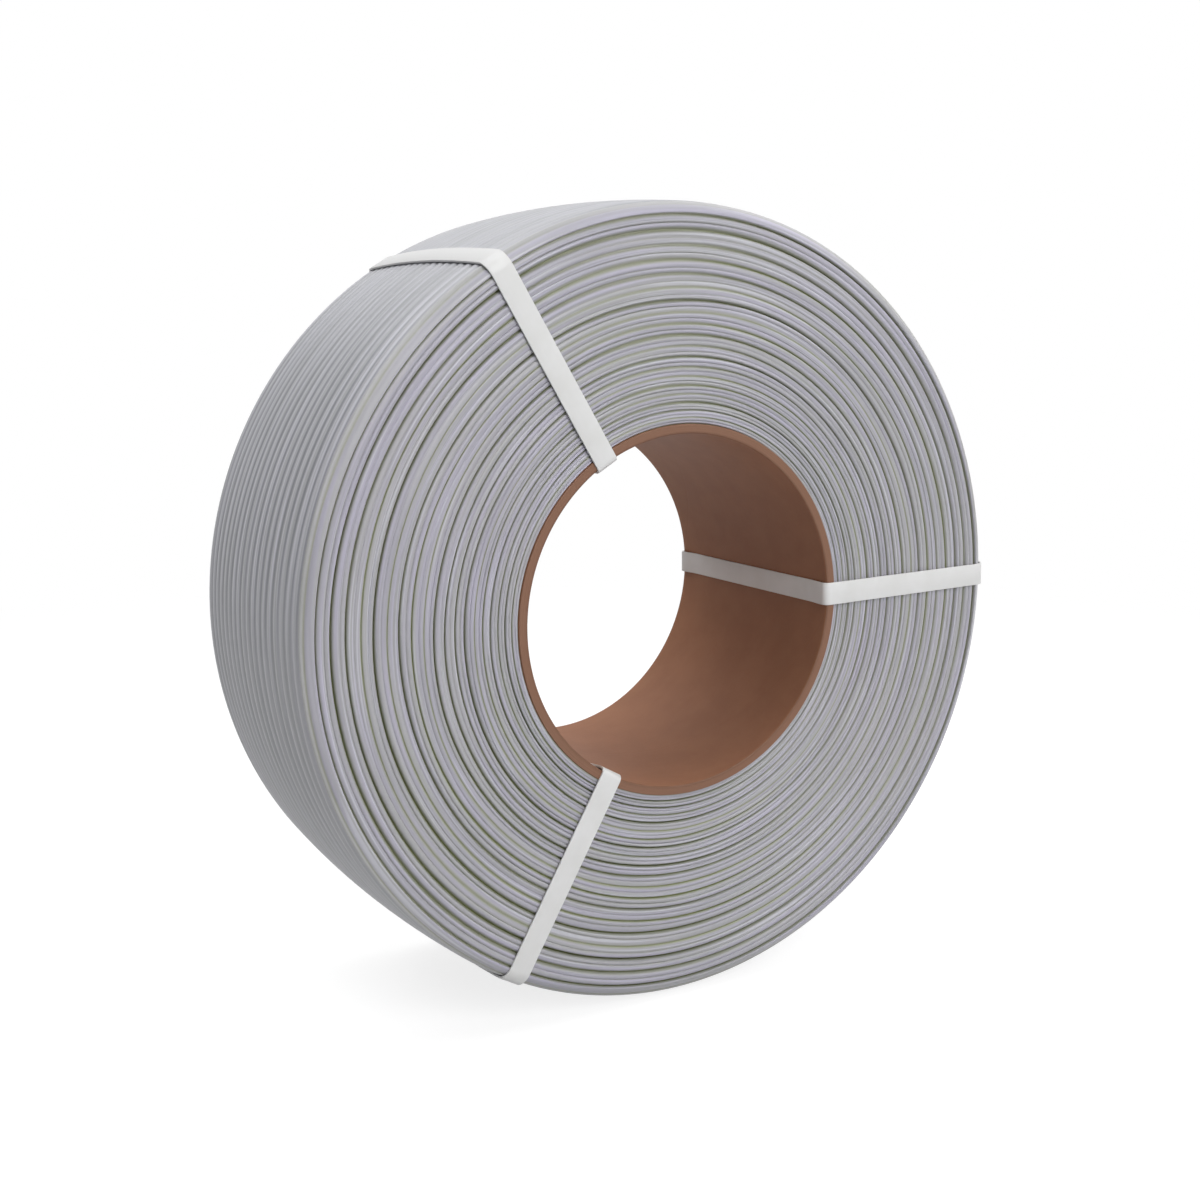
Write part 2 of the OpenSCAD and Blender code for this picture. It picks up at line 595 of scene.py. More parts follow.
class Bench:
    """A mesh on the bench, which edit-mode operators shape."""

    def __init__(self, name: str, size: Sequence[float]) -> None:
        """Take up the primitive that was just added and bring it to size.

        Args:
            name: Name of the finished piece.
            size: The primitive's extent along X, Y and Z, where 1 leaves it alone.
        """
        self.piece = bpy.context.object
        self.piece.name = self.piece.data.name = name
        self.piece.scale = size
        bpy.ops.object.transform_apply(location=True, rotation=True, scale=True)

    @classmethod
    def section(cls, name: str, low: Sequence[float], high: Sequence[float]) -> Bench:
        """Lay out a rectangle in the XY plane.

        Args:
            name: Name of the finished piece.
            low: Its smallest radius and height.
            high: Its largest radius and height.

        Returns:
            The bench that holds it.
        """
        bpy.ops.object.select_all(action="DESELECT")
        centre = ((low[0] + high[0]) / 2, (low[1] + high[1]) / 2, 0)
        bpy.ops.mesh.primitive_plane_add(size=1, location=centre)
        return cls(name, (high[0] - low[0], high[1] - low[1], 1))

    @contextmanager
    def editing(self) -> Iterator[None]:
        """Edit mode for a while, by vertices and with nothing selected at first.

        Yields:
            Nothing, once in edit mode.
        """
        bpy.context.view_layer.objects.active = self.piece
        bpy.ops.object.mode_set(mode="EDIT")
        bpy.ops.mesh.select_mode(type="VERT")
        bpy.ops.mesh.select_all(action="DESELECT")
        try:
            yield
        finally:
            bpy.ops.object.mode_set(mode="OBJECT")

    def pick(self, wanted: Callable[[bmesh.types.BMVert], bool]) -> None:
        """Select the vertices that are wanted, and no others.

        Args:
            wanted: Says whether a vertex is.
        """
        mesh = bmesh.from_edit_mesh(self.piece.data)
        for vertex in mesh.verts:
            vertex.select = wanted(vertex)
        mesh.select_flush_mode()
        bmesh.update_edit_mesh(self.piece.data)

    def along(self, start: Vector, end: Vector) -> list[tuple[int, Vector]]:
        """Find the vertices on a straight edge.

        Args:
            start: Where the edge starts.
            end: Where it ends.

        Returns:
            The index and the place of each vertex, in order from the start.
        """
        mesh = bmesh.from_edit_mesh(self.piece.data)
        mesh.verts.index_update()
        way = (end - start).normalized()
        found = []
        for vertex in mesh.verts:
            out = vertex.co - start
            if (out - out.dot(way) * way).length < TINY:
                found.append((out.dot(way), vertex.index, vertex.co.copy()))
        return [(index, place) for _, index, place in sorted(found)]

    def trace(
        self, start: Vector, end: Vector, outline: Sequence[Vector], stretches: int = 1
    ) -> None:
        """Subdivide a straight edge and pull its vertices to an outline.

        Args:
            start: The corner where the edge starts.
            end: The corner where it ends.
            outline: Where its vertices go, from the start to the end.
            stretches: Even parts that the edge is first cut into.
        """
        ends = (start, end)
        self.pick(lambda vertex: min((vertex.co - spot).length for spot in ends) < TINY)
        for parts in (stretches, (len(outline) - 1) // stretches):
            if parts > 1:
                bpy.ops.mesh.subdivide(number_cuts=parts - 1)
        for (index, place), target in zip(self.along(start, end), outline, strict=True):
            shift = target - place
            if shift.length > TINY / 10:
                self.pick(lambda vertex, index=index: vertex.index == index)
                bpy.ops.transform.translate(value=shift)

    def open_section(self) -> None:
        """Delete the face inside the section and keep its edges."""
        bpy.ops.mesh.select_all(action="SELECT")
        bpy.ops.mesh.delete(type="ONLY_FACE")

    def spin(self, steps: int) -> None:
        """Spin the section once round the coil's axis and close it.

        Args:
            steps: The number of steps in the turn.
        """
        bpy.ops.mesh.select_all(action="SELECT")
        bpy.ops.mesh.spin(steps=steps, angle=math.tau, center=(0, 0, 0), axis=AXIS)
        self.close()

    def close(self) -> None:
        """Merge the vertices that coincide and turn the faces outwards."""
        bpy.ops.mesh.select_all(action="SELECT")
        bpy.ops.mesh.remove_doubles(threshold=TINY)
        bpy.ops.mesh.normals_make_consistent(inside=False)

    def smooth(self, angle: float) -> None:
        """Shade the piece smooth.

        Args:
            angle: Edges sharper than this stay sharp.
        """
        bpy.ops.object.select_all(action="DESELECT")
        self.piece.select_set(True)
        bpy.context.view_layer.objects.active = self.piece
        bpy.ops.object.shade_smooth_by_angle(angle=angle)


def hand_in(
    piece: bpy.types.Object, node: str, slot: Slot, finish: bpy.types.Material
) -> None:
    """Let a finished piece stand for its node and wear its finish.

    Args:
        piece: The finished piece.
        node: The node that it replaces.
        slot: The record's material slot; not used.
        finish: The material that it wears.
    """
    piece.data.materials.clear()
    piece.data.materials.append(finish)
    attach(piece, "root")
    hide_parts(node)
    log.info("%s: %d faces", piece.name, len(piece.data.polygons))


@dataclass(frozen=True)
class Flank:
    """One side of a rounded turn at a face, from its crest down to its foot.

    Places and depths are shares of the layer's thickness, and places count from the
    layer's inside. A bend of 2 gives an ellipse, and more gives a squarer side. The
    floor is the flat share of the way at the foot. The tint is the groove's painted
    shade, and it starts at a share of the depth.
    """

    crest: float
    foot: float
    depth: float
    bend: float
    floor: float = 0.0
    tint: float = 1.0
    tint_from: float = 0.0

    def down(self, place: float) -> float:
        """How far from the crest a place is, where the foot is at 1."""
        return min(1.0, abs(place - self.crest) / abs(self.foot - self.crest))

    def holds(self, place: float) -> bool:
        """Whether a place is on this flank."""
        return min(self.crest, self.foot) <= place <= max(self.crest, self.foot)

    def fall(self, place: float) -> float:
        """How far the surface has fallen below the crest at a place."""
        share = min(1.0, self.down(place) / (1 - self.floor))
        return self.depth * (1 - (1 - share**self.bend) ** (1 / self.bend))

    def shade(self, place: float) -> float:
        """How strong the groove's painted shade is at a place."""
        fallen = self.fall(place) / self.depth
        return self.tint * max(0.0, (fallen - self.tint_from) / (1 - self.tint_from))

    def places(self, steps: int) -> list[float]:
        """Where the section has its points on this flank.

        Args:
            steps: The number of steps from the crest to the floor.

        Returns:
            Places from the crest to the foot, close together at the foot.
        """
        reach = (self.foot - self.crest) * (1 - self.floor)
        found = [self.crest + reach * math.sin(math.pi / 2 * i / steps) for i in range(steps + 1)]
        return [*found, self.foot] if self.floor else found


@dataclass(frozen=True)
class Lobes:
    """The two rounded turns that show at the end of a wound layer."""

    first_crest: float
    split: float
    second_crest: float
    inside_depth: float
    split_depth: float
    outside_depth: float
    steps: int = 6

    def flanks(self) -> list[Flank]:
        """The sides of the two turns.

        Returns:
            The flanks, from the inside to the outside.
        """
        # the split between the two turns gets a little painted shade
        middle = [
            Flank(crest, self.split, self.split_depth, bend=1.5, tint=0.2, tint_from=0.3)
            for crest in (self.first_crest, self.second_crest)
        ]
        inside = Flank(self.first_crest, 0.0, self.inside_depth, bend=2.0, floor=0.11)
        outside = Flank(self.second_crest, 1.0, self.outside_depth, bend=2.5, floor=0.06)
        return [inside, *middle, outside]

    def flank_at(self, place: float) -> Flank:
        """Find the flank at a place.

        Args:
            place: The place, as a share of the layer's thickness.

        Returns:
            The flank that holds it, or the nearest one outside the thickness.
        """
        flanks = self.flanks()
        held = [flank for flank in flanks if flank.holds(place)]
        return held[0] if held else flanks[0 if place < 0 else -1]

    def places(self) -> list[float]:
        """Where the section has its points, from the inside to the outside."""
        found = {place for flank in self.flanks() for place in flank.places(self.steps)}
        return sorted(found)


@dataclass(frozen=True)
class Dish:
    """How far the wound faces lie behind the ends of the core."""

    core_r: float
    half_width: float
    rim_r: float
    at_core: float = 0.33 * MM
    at_rim: float = 0.8 * MM
    reach: float = 0.18

    def out(self, radius: float) -> float:
        """Share of the way from the core to the rim."""
        return clamped((radius - self.core_r) / (self.rim_r - self.core_r))

    def squeeze(self, height: float) -> float:
        """0 inside the coil and 1 at its ends, with a smooth step between them."""
        return eased(1 - (1 - abs(height) / self.half_width) / self.reach)

    def strand(self, radius: float, height: float) -> float:
        """Find where a point of the strand lies once its end has settled.

        Args:
            radius: The point's radius.
            height: Its height in a coil with flat faces.

        Returns:
            Its height in the dished coil, whose back is flat again at the rim.
        """
        out = self.out(radius)
        low = self.at_core + (self.at_rim - self.at_core) * out
        if height > 0:
            low *= 1 - out**3
        return height - math.copysign(low * self.squeeze(height), height)

    def strap(self, radius: float, height: float) -> float:
        """The height of a point of a strap, which runs straight from core to rim."""
        low = self.at_rim * self.out(radius) if height < 0 else 0.0
        return height + low * self.squeeze(height)


@dataclass(frozen=True)
class Stretch:
    """A stretch of the way round the axis where the grooves on the faces differ.

    The widening runs from -1, narrow, to 1, wide with a flat floor. The rise is the
    share of its depth by which a groove is shallower.
    """

    middle: float
    reach: float
    widening: float
    rise: float = 0.0

    def share(self, turn: float) -> float:
        """How much of the stretch's differences show at an angle."""
        away = (turn - self.middle + math.pi) % math.tau - math.pi
        return math.exp(-((away / self.reach) ** 2))


@dataclass(frozen=True)
class Ripple:
    """A ripple round the axis: its strength, its waves in a turn and how it shifts."""

    strength: float
    waves: int
    shift: float

    def at(self, turn: float, place: float) -> float:
        """The ripple's height at an angle, shifted by a place."""
        return self.strength * math.sin(self.waves * turn + self.shift * place)


@dataclass(frozen=True)
class Winding:
    """What all the wound layers share: the coil's size and how it was wound.

    The lean moves a layer's middle out and in, by an amount of drift, and differs from
    layer to layer. The sway moves whole layers, by an amount of wander. The sag pulls
    the ends in where they dip. Tightening draws the middle layers to the core. Grooves
    swell, each at its own angle, and change in some stretches, and their painted shade
    is weaker where they are shallower.
    """

    dish: Dish
    steps: int = 256
    drift: float = 0.08 * MM
    lean: tuple[Ripple, ...] = (Ripple(1.0, 2, 1.0), Ripple(0.6, 5, 2.3))
    wander: float = 0.12 * MM
    sway: tuple[Ripple, ...] = (Ripple(1.0, 3, 9.0), Ripple(0.5, 7, -23.0))
    sag: float = 0.12 * MM
    dip: Ripple = Ripple(0.5, 3, 0.3)
    dip_twist: float = 0.9 / MM
    tighten: float = 0.38 * MM
    tighten_bend: float = 0.8
    swell: float = 0.25 * MM
    swell_turn: float = 2.4
    # how much the grooves' painted shade weakens where they swell less and where they rise
    swell_tint: float = 0.15
    rise_tint: float = 0.75
    stretches: tuple[Stretch, ...] = (
        Stretch(math.radians(101), math.radians(25), 1.0, 0.42),
        Stretch(math.radians(142), math.radians(28), -0.34),
        Stretch(math.radians(226), math.radians(24), 0.6, 0.1),
        Stretch(math.radians(272), math.radians(22), 0.45, -0.15),
        Stretch(math.radians(358), math.radians(36), 0.4),
    )

    @property
    def half_width(self) -> float:
        """Half the width across the faces."""
        return self.dish.half_width

    @property
    def rim_r(self) -> float:
        """Radius of the coil's two edges."""
        return self.dish.rim_r

    def widened(self, low: float, turn: float) -> float:
        """A share of a groove's depth, once the stretches have changed its width."""
        widening = sum(stretch.widening * stretch.share(turn) for stretch in self.stretches)
        return 1 - (1 - low) ** 4**widening

    def rise(self, turn: float) -> float:
        """Share of its depth by which a groove is shallower at an angle."""
        return sum(stretch.rise * stretch.share(turn) for stretch in self.stretches)

    def settle(self, place: Vector, inner: float, outer: float, seed: float) -> Vector:
        """Where a point of a true ring lies in the coil, which was wound by machine.

        Args:
            place: The point on the true ring.
            inner: The ring's inside radius.
            outer: The ring's outside radius.
            seed: Tells this layer's turns from the others'.

        Returns:
            The point's place in the coil.
        """
        radius = math.hypot(place.x, place.z)
        turn = math.atan2(place.z, place.x)
        depth = self.dish.out(radius)
        bowed = math.sin(math.pi * depth)
        lean = sum(ripple.at(turn, seed) for ripple in self.lean)
        sway = sum(ripple.at(turn, depth) for ripple in self.sway)
        moved = (
            radius
            + self.drift * lean * math.sin(math.pi * clamped((radius - inner) / (outer - inner)))
            + self.wander * sway * bowed
            - self.tighten * bowed**self.tighten_bend
        )
        dip = 0.5 + self.dip.at(turn + self.dip_twist * radius / self.dip.waves, seed)
        height = self.dish.strand(radius, place.y) * (1 - self.sag * dip / self.half_width)
        return Vector((place.x * moved / radius, height, place.z * moved / radius))


@dataclass
class WoundLayer:
    """One layer of the strand below the outermost one."""

    name: str
    winding: Winding
    inner: float
    outer: float
    seed: int
    front: Lobes
    back: Lobes
    turns: int = 19
    sharp: float = math.radians(70)

    @property
    def thick(self) -> float:
        """The layer's thickness."""
        return self.outer - self.inner

    def lobes(self, side: Side) -> Lobes:
        """The turns that show on a face."""
        return self.front if side is Side.FRONT else self.back

    def share(self, place: Vector) -> float:
        """Where a point is in the layer's thickness, from its inside."""
        return (math.hypot(place.x, place.z) - self.inner) / self.thick

    def end_outline(self, side: Side) -> list[Vector]:
        """The outline of one end in the section.

        Args:
            side: The face.

        Returns:
            Its points, from the inside to the outside.
        """
        lobes = self.lobes(side)
        made = []
        for place in lobes.places():
            height = self.winding.half_width - self.thick * lobes.flank_at(place).fall(place)
            made.append(Vector((self.inner + self.thick * place, side.value * height, 0)))
        return made

    def corner(self, radius: float, side: Side) -> Vector:
        """A corner of the plain section."""
        return Vector((radius, side.value * self.winding.half_width, 0))

    def draw(self) -> Bench:
        """Draw the layer's section, with its ends traced.

        Returns:
            The bench that holds it.
        """
        top = self.winding.half_width
        bench = Bench.section(self.name, (self.inner, -top), (self.outer, top))
        with bench.editing():
            bench.open_section()
            for side in Side:
                start, end = self.corner(self.inner, side), self.corner(self.outer, side)
                bench.trace(start, end, self.end_outline(side))
        return bench

    def flank_at(self, place: Vector) -> Flank:
        """The flank that a point is on."""
        return self.lobes(Side.of(place.y)).flank_at(self.share(place))

    def groove_at(self, place: Vector) -> float:
        """How strong the groove's painted shade is at a point, from 0 to 1."""
        return self.flank_at(place).shade(self.share(place))

    def depth_at(self, place: Vector) -> float:
        """Depth of the groove that a point's flank runs down to."""
        return self.flank_at(place).depth * self.thick

    def swell_at(self, place: Vector) -> float:
        """From -1 to 1, how much deeper than usual the nearest groove is at a point."""
        edge = self.seed + round(self.share(place))
        return math.sin(math.atan2(place.z, place.x) + self.winding.swell_turn * edge)

    def turns_at(self, height: float) -> float:
        """Turns side by side between the front face and a height."""
        return (height + self.winding.half_width) * self.turns / (2 * self.winding.half_width)

    def lay(self, place: Vector) -> tuple[Vector, float]:
        """Lay a point of a true ring into the coil.

        Args:
            place: The point on the true ring.

        Returns:
            Its place in the coil, and how strong the groove's painted shade is there.
        """
        winding = self.winding
        turn = math.atan2(place.z, place.x)
        swell, rise = self.swell_at(place), winding.rise(turn)
        depth, low = self.depth_at(place), self.groove_at(place)
        wide = winding.widened(low, turn) if depth else low
        tint = wide * (1 - winding.rise_tint * rise) * (1 - winding.swell_tint * (1 - swell))
        sunk = winding.swell * wide * swell + (wide * (1 - rise) - low) * depth
        laid = winding.settle(place, self.inner, self.outer, self.seed)
        laid.y -= math.copysign(1, laid.y) * sunk
        return laid, tint

    def build(self, finish: bpy.types.Material) -> None:
        """Model the layer and hand it in.

        Args:
            finish: The strand's material.
        """
        bench = self.draw()
        with bench.editing():
            bench.spin(self.winding.steps)
        mesh = bench.piece.data
        # groove holds the strength of the grooves' painted shade; turns places the outside's
        # painted valley shade
        groove = mesh.attributes.new("groove", "FLOAT", "POINT")
        turns = mesh.attributes.new("turns", "FLOAT", "POINT")
        for vertex, groove_shade_mark, count in zip(mesh.vertices, groove.data, turns.data, strict=True):
            count.value = self.turns_at(vertex.co.y)
            vertex.co, groove_shade_mark.value = self.lay(vertex.co)
        mesh.update()
        bench.smooth(self.sharp)
        hand_in(bench.piece, self.name.removesuffix("_strand"), Slot.FILAMENT, finish)


@dataclass
class OuterLayer(WoundLayer):
    """The outermost layer, whose turns show as ribs on the coil's outside."""

    crown: float = 1.27 * MM
    rib_depth: float = 0.45 * MM
    rib_points: int = 8
    front_bend: float = 2.9 * MM
    back_bend: float = 1.4 * MM
    bend_steps: int = 18
    crease_turn: float = math.radians(53)
    crease_width: float = math.radians(13)
    crease_depth: float = 0.30 * MM
    # painted shade in the front edge's crease
    crease_tint: float = 0.4

    def crown_r(self, height: float) -> float:
        """Radius of the barrel-shaped outside over the ribs at a height."""
        share = height / self.winding.half_width
        return self.winding.rim_r + self.crown * (1 - share * share)

    def rib_low(self, height: float) -> float:
        """How deep the groove between two ribs is.

        Args:
            height: The height along the axis.

        Returns:
            The depth, which is 0 at the two faces.
        """
        top = self.winding.half_width
        pitch = 2 * top / self.turns
        if abs(height) > top - pitch / 2:
            return 0.0
        share = (height + top) / pitch % 1
        return self.rib_depth * (2 * share - 1) ** 2

    def crease(self, turn: float, side: Side, width: float) -> float:
        """How strong the front edge's crease is at an angle from the face, from 0 to 1."""
        away = (turn - self.crease_turn) / width
        return math.exp(-away * away) if side is Side.FRONT else 0.0

    def edge(self, side: Side) -> tuple[float, float, float]:
        """Find the arc of the rounded outside edge.

        Args:
            side: The face.

        Returns:
            The radius and the height of its centre, and its own radius.
        """
        bend = self.front_bend if side is Side.FRONT else self.back_bend
        height = self.winding.half_width - bend
        return self.crown_r(height) - bend, height, bend

    def end_outline(self, side: Side) -> list[Vector]:
        """The outline of one end in the section.

        Args:
            side: The face.

        Returns:
            Its points, up the first flank and round the outside edge.
        """
        centre, height, bend = self.edge(side)
        flank = self.lobes(side).flanks()[0]
        made = []
        for place in reversed(flank.places(2 * self.lobes(side).steps)):
            radius = self.inner + self.thick * place
            past = max(0.0, radius - centre)
            top = height + math.sqrt(bend * bend - past * past)
            made.append((radius, top - self.thick * flank.fall(place)))
        start = math.asin(max(0.0, made[-1][0] - centre) / bend)
        for i in range(0 if start == 0 else 1, self.bend_steps + 1):
            turn = start + (math.pi / 2 - start) * i / self.bend_steps
            reach = bend - self.crease_depth * self.crease(turn, side, self.crease_width)
            up = height + reach * math.cos(turn)
            made.append((centre + reach * math.sin(turn) - self.rib_low(up), up))
        return [Vector((radius, side.value * up, 0)) for radius, up in made]

    def draw(self) -> Bench:
        """Draw the layer's section, with its ends and its ribs traced.

        Returns:
            The bench that holds it.
        """
        bench = super().draw()
        start, end = (self.end_outline(side)[-1] for side in Side)
        count = self.turns * self.rib_points
        ribs = [start]
        for i in range(1, count):
            height = start.y + (end.y - start.y) * i / count
            ribs.append(Vector((self.crown_r(height) - self.rib_low(height), height, 0)))
        with bench.editing():
            bench.trace(start, end, [*ribs, end], self.turns)
        return bench

    def on_flank(self, place: Vector) -> bool:
        """Whether a point is on the flank at the layer's inside."""
        return self.share(place) < self.lobes(Side.of(place.y)).first_crest

    def groove_at(self, place: Vector) -> float:
        """How strong the painted shade of the groove or of the edge's crease is.

        Args:
            place: A point of the layer.

        Returns:
            The painted shade's strength there, from 0 to 1.
        """
        if self.on_flank(place):
            return super().groove_at(place)
        side = Side.of(place.y)
        centre, height, _ = self.edge(side)
        turn = math.atan2(math.hypot(place.x, place.z) - centre, abs(place.y) - height)
        return self.crease_tint * self.crease(turn, side, self.crease_width / 2)

    def depth_at(self, place: Vector) -> float:
        """Depth of the groove that a point's flank runs down to, or 0 off the flank."""
        return super().depth_at(place) if self.on_flank(place) else 0.0


@dataclass(frozen=True)
class Coil:
    """The wound strand, layer by layer, at the sizes of the frame.

    A pair of numbers holds the least and the most that chance may pick, as shares of a
    layer's thickness. Slack starts are the layers that start with a shallow groove.
    """

    nodes: list[str]
    dish: Dish
    layer_gap: float = 0.02 * MM
    seed: int = 7
    layer_seed: int = 100
    core_groove: float = 0.15
    grooves: tuple[float, float] = (0.36, 0.44)
    slack_grooves: tuple[float, float] = (0.15, 0.2)
    slack_starts: tuple[int, ...] = (6, 7, 12, 13, 15, 17)
    first_crests: tuple[float, float] = (0.26, 0.31)
    outer_crest: float = 0.17
    splits: tuple[float, float] = (0.46, 0.52)
    second_crests: tuple[float, float] = (0.66, 0.73)
    split_depths: tuple[float, float] = (0.08, 0.14)
    outside_share: float = 0.95

    def boundary_depths(self) -> list[float]:
        """Pick the depths of the grooves between the layers.

        Returns:
            The depth where each layer starts, and one past the last layer.
        """
        chance = random.Random(self.seed)
        depths = [chance.uniform(*self.grooves) for _ in range(len(self.nodes) + 1)]
        for number in self.slack_starts:
            depths[number - 1] = chance.uniform(*self.slack_grooves)
        return [self.core_groove, *depths[1:]]

    def lobes(self, number: int, depths: Sequence[float], chance: random.Random) -> Lobes:
        """The turns that show at one end of a layer.

        Args:
            number: The layer's number, from 0.
            depths: What boundary_depths gave.
            chance: Where the small differences come from.

        Returns:
            The turns.
        """
        last = number + 1 == len(self.nodes)
        return Lobes(
            first_crest=self.outer_crest if last else chance.uniform(*self.first_crests),
            split=chance.uniform(*self.splits),
            second_crest=chance.uniform(*self.second_crests),
            inside_depth=depths[number],
            split_depth=chance.uniform(*self.split_depths),
            outside_depth=depths[number + 1] * self.outside_share,
        )

    def build(self, finish: bpy.types.Material) -> None:
        """Model all the layers and hand them in.

        Args:
            finish: The strand's material.
        """
        winding = Winding(self.dish)
        depths = self.boundary_depths()
        inner = self.dish.core_r + self.layer_gap
        for number, node in enumerate(self.nodes):
            last = node == self.nodes[-1]
            outer = self.dish.rim_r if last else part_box(node)[1].x
            chance = random.Random(self.layer_seed + number)
            ends = [self.lobes(number, depths, chance) for _ in Side]
            kind = OuterLayer if last else WoundLayer
            kind(node + "_strand", winding, inner, outer, number, *ends).build(finish)
            inner = outer + self.layer_gap


@dataclass(frozen=True)
class StrapRoute:
    """Where a strap runs in the section: its inside outline, by radius and height."""

    bore_r: float = 37.98 * MM
    face_y: float = 29.3 * MM
    bend: float = 1.0 * MM
    front_bulge: float = 0.4 * MM
    back_bulge: float = 0.6 * MM
    bulge_from: float = 0.8
    bulge_fade: float = 0.15
    front_bend: float = OuterLayer.front_bend
    back_bend: float = OuterLayer.back_bend
    front_rim: float = 85.795 * MM
    back_rim: float = 85.668 * MM
    crown: float = 86.85 * MM
    crown_drop: float = 1.3 * MM / (29.25 * MM) ** 2

    def crown_r(self, height: float) -> float:
        """Radius of the run over the coil's outside at a height."""
        return self.crown - self.crown_drop * height * height

    def proud(self, radius: float, height: float) -> float:
        """How far a strap bulges off the core's edge towards the axis.

        Args:
            radius: Radius of a point of the strap.
            height: Its height along the axis.

        Returns:
            The bulge at that point.
        """
        bulge = self.front_bulge if height < 0 else self.back_bulge
        ahead = eased((abs(height) / self.face_y - self.bulge_from) / self.bulge_fade)
        return bulge * ahead * eased(1 - (radius - self.bore_r) / (3 * self.bend))


@dataclass(frozen=True)
class Lap:
    """The welded lap of a strap's two ends, on the back face.

    It is laid out in columns along the strap and rows across it, and the welding jaws
    press down every other column of the faces whose normals point back by more than the
    facing share.
    """

    start: float = 55 * MM
    length: float = 14 * MM
    bevel: float = 0.1 * MM
    columns: int = 28
    rows: int = 10
    weld_length: float = 9 * MM
    weld_width: float = 3.5 * MM
    weld_depth: float = 0.12 * MM
    weld_slope: float = 0.08 * MM
    facing: float = 0.9

    @property
    def middle(self) -> float:
        """Distance of the lap's middle from the axis."""
        return self.start + self.length / 2

    def welded(self, face: bmesh.types.BMFace) -> bool:
        """Whether the jaws press a face of the lap.

        Args:
            face: The face.

        Returns:
            Whether it looks back, lies in the weld and is in a pressed column.
        """
        spot = face.calc_center_median()
        column = int((spot.x - self.start) / self.length * self.columns)
        inside = abs(spot.x - self.middle) < self.weld_length / 2
        return (
            face.normal.y > self.facing
            and inside
            and abs(spot.z) < self.weld_width / 2
            and column % 2 == 0
        )


